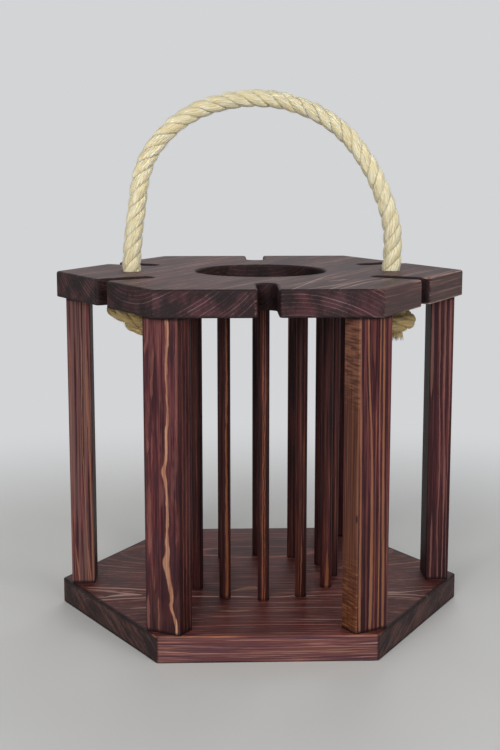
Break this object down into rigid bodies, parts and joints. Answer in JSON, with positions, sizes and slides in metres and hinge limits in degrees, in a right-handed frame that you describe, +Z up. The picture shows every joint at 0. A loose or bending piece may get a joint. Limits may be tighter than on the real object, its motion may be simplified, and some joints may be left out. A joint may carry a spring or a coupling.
{
  "type": "bottle caddy",
  "caption": "Hexagonal stained wood carrier that stands a wine bottle in a ring of rods and hangs stemmed glasses in side slots, with a rope handle.",
  "frame": {"origin": "middle of the base board's underside, on the surface that the caddy stands on", "axes": "+Z up; the X axis runs through two opposite corners of the boards and both rope holes; -Y and +Y face two opposite flat sides, with -Y the front"},
  "size_m": [0.2878, 0.25, 0.3688],
  "materials": {
    "board_wood": "dark red-brown stain, satin",
    "post_wood": "red-brown stain with paler grain lines, satin",
    "rod_wood": "red-brown stain, satin",
    "dowel_wood": "plain beech",
    "screw_steel": "zinc plated",
    "rope": "natural sisal, laid in strands"
  },
  "bodies": {
    "frame": {"base_board": "board_wood", "top_board": "board_wood", "post_right": "post_wood", "post_back_right": "post_wood", "post_back_left": "post_wood", "post_left": "post_wood", "post_front_left": "post_wood", "post_front_right": "post_wood", "bottle_rod_01": "rod_wood", "bottle_rod_02": "rod_wood", "bottle_rod_03": "rod_wood", "bottle_rod_04": "rod_wood", "bottle_rod_05": "rod_wood", "bottle_rod_06": "rod_wood", "bottle_rod_07": "rod_wood", "bottle_rod_08": "rod_wood", "bottle_rod_09": "rod_wood", "bottle_rod_10": "rod_wood", "bottle_rod_11": "rod_wood", "bottle_rod_12": "rod_wood", "post_dowels": "dowel_wood", "post_screws": "screw_steel", "rope_end_left": "rope", "rope_end_right": "rope"},
    "handle": {"rope_handle": "rope"}
  },
  "joints": [
    {"name": "handle_swing", "type": "hinge", "parent": "frame", "child": "handle", "pos_m": [0, 0, 0.25], "axis": [1, 0, 0], "range_deg": [-80, 80], "stiffness_Nm_per_rad": 0.15}
  ]
}
